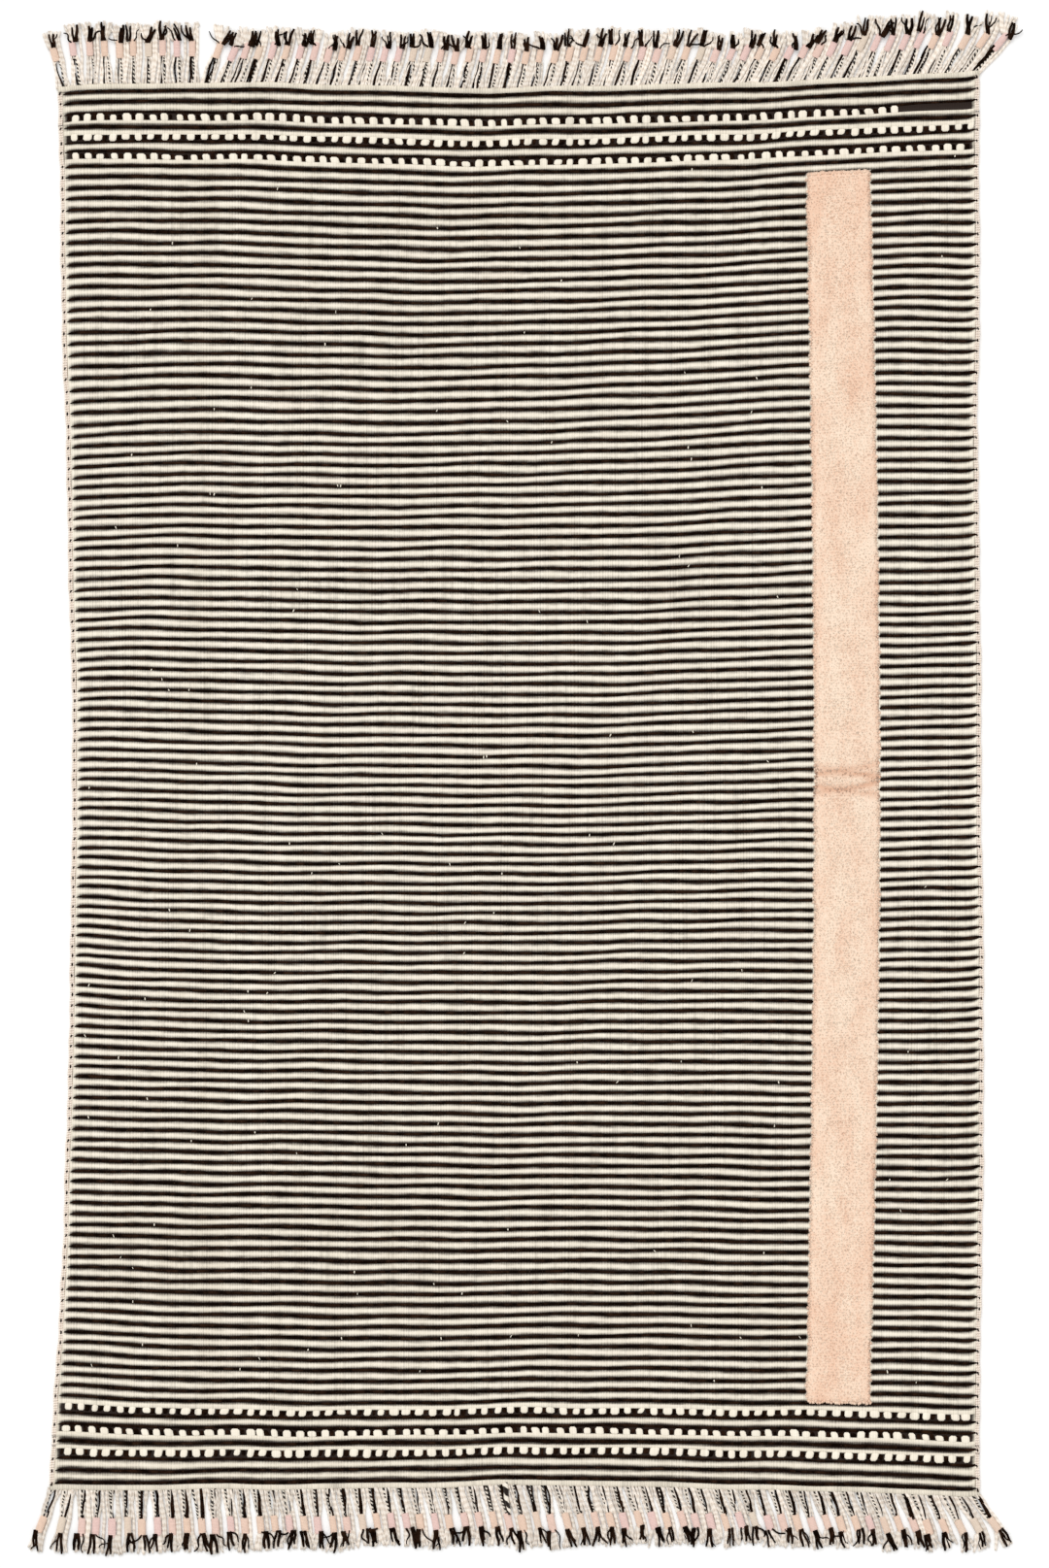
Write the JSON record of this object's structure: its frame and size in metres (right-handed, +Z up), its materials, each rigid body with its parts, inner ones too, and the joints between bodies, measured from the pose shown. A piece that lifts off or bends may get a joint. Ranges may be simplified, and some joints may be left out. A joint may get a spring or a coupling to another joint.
{
  "type": "kilim rug",
  "caption": "Flat ribbed flatweave rug with an inlaid stripe of short pile, corded side edges and a wrapped fringe on each end.",
  "frame": {"origin": "on the floor, under the middle of the rug's whole outline, fringe included", "axes": "+X across the rug towards the side with the pile stripe, +Y along it, +Z up from the floor"},
  "size_m": [1.2972, 2.0264, 0.0089],
  "materials": {
    "ground_weave": "matt handspun wool, cream ribs and near-black grooves",
    "pile": "short soft wool pile in pale peach pink",
    "selvedge": "matt wool cord in warm cream",
    "fringe": "plied cream and black warps with pink wraps"
  },
  "bodies": {
    "root": {"ground": "ground_weave", "pile_panel": "pile", "selvedge_left": "selvedge", "selvedge_right": "selvedge", "fringe_top": "fringe", "fringe_bottom": "fringe"}
  },
  "joints": []
}
